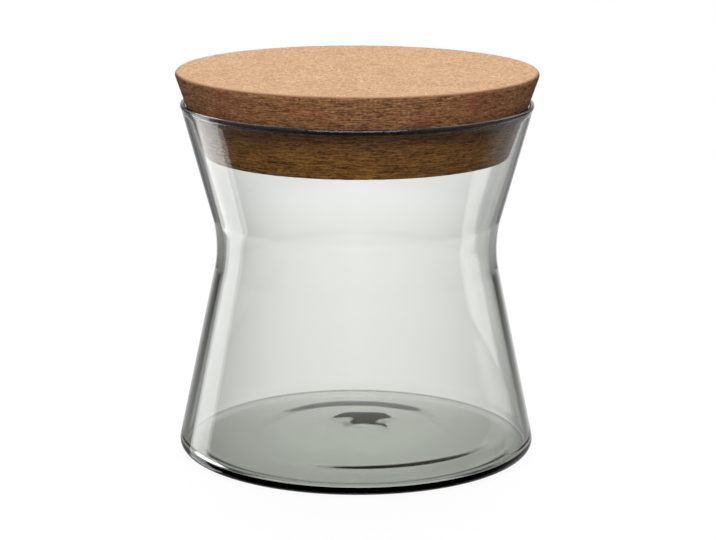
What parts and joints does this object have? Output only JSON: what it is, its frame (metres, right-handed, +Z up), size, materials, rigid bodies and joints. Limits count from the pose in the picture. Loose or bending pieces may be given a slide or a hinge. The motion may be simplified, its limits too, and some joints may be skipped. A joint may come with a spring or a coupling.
{
  "type": "glass jar with cork lid",
  "caption": "Waisted clear glass storage jar with a thin domed base and a tapered pressed cork plug lid that lifts straight out.",
  "frame": {"origin": "centre of the jar's foot, on the surface that it stands on", "axes": "+Z up along the jar's axis of revolution; X and Y across, with nothing to tell them apart"},
  "size_m": [0.1448, 0.1448, 0.155],
  "materials": {
    "clear_glass": "smooth clear pressed glass",
    "pressed_cork": "sanded pressed cork granules"
  },
  "bodies": {
    "jar": {"glass_jar": "clear_glass"},
    "lid": {"cork_lid": "pressed_cork"}
  },
  "joints": [
    {"name": "lid_lift", "type": "slide", "parent": "jar", "child": "lid", "axis": [0, 0, 1], "range_m": [0, 0.06]}
  ]
}
